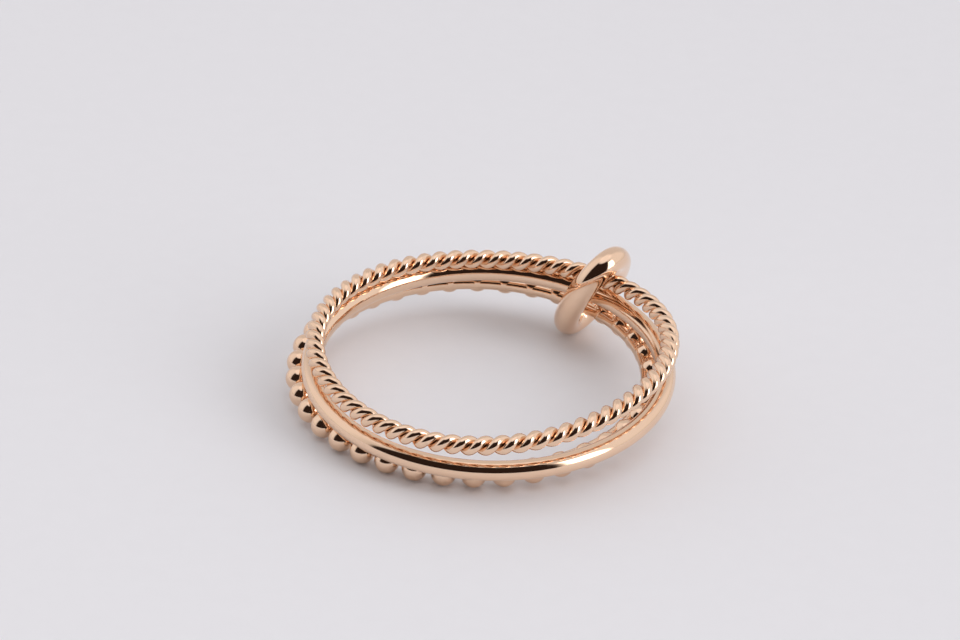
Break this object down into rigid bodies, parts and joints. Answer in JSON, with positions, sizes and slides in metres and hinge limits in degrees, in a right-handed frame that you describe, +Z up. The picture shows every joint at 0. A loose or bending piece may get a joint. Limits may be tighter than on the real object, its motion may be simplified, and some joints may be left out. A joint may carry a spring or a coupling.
{
  "type": "linked stacking finger ring",
  "caption": "Slim finger bands, twisted rope, plain and beaded, joined by one small oval link and lying flat on a table.",
  "frame": {"origin": "centre of the bottom of the bounding box, on the table that the ring lies on", "axes": "+Z up from the table and nearly along the finger, +Y away from the camera of the picture, +X to its right"},
  "size_m": [0.0196, 0.0206, 0.0062],
  "materials": {
    "rope_band": "polished rose gold, twisted wire",
    "plain_band": "mirror-polished rose gold",
    "beaded_band": "polished rose gold beads",
    "connector_link": "mirror-polished rose gold"
  },
  "bodies": {
    "root": {"rope_band": "rope_band", "plain_band": "plain_band", "beaded_band": "beaded_band", "connector_link": "connector_link"}
  },
  "joints": []
}
